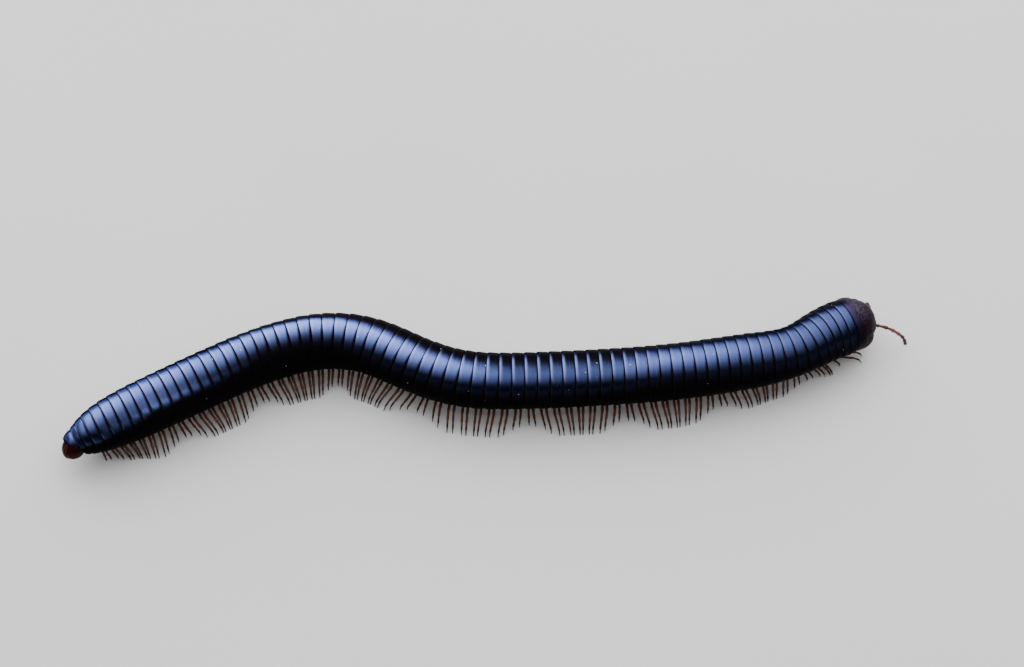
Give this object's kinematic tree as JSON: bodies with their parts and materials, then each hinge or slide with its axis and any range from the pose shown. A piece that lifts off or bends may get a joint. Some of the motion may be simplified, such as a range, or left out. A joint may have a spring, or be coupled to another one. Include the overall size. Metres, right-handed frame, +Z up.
{
  "type": "seychelles giant millipede",
  "caption": "Life-size giant millipede that stands on its own feet, its long ringed body in a shallow S bend.",
  "frame": {"origin": "middle of the footprint's box, on the floor the feet stand on", "axes": "+X towards the head along the body's length, +Y towards the animal's left, +Z up"},
  "size_m": [0.1919, 0.041, 0.0154],
  "materials": {
    "shell_black": "glossy",
    "head_brown": "satin",
    "valve_red": "glossy",
    "limb_red_brown": "satin",
    "eye_black": "glossy"
  },
  "bodies": {
    "root": {"head": "head_brown", "collum": "shell_black", "chin_plate": "head_brown", "jaw_base_left": "head_brown", "jaw_base_right": "head_brown", "eye_left": "eye_black", "eye_right": "eye_black", "antenna_left": "limb_red_brown", "antenna_right": "limb_red_brown", "neck": "shell_black", "trunk_1": "shell_black", "trunk_2": "shell_black", "trunk_3": "shell_black", "trunk_4": "shell_black", "trunk_5": "shell_black", "trunk_6": "shell_black", "trunk_7": "shell_black", "tail": "shell_black", "telson": "shell_black", "anal_valve_left": "valve_red", "anal_valve_right": "valve_red", "tail_scale": "head_brown"}
  },
  "joints": []
}
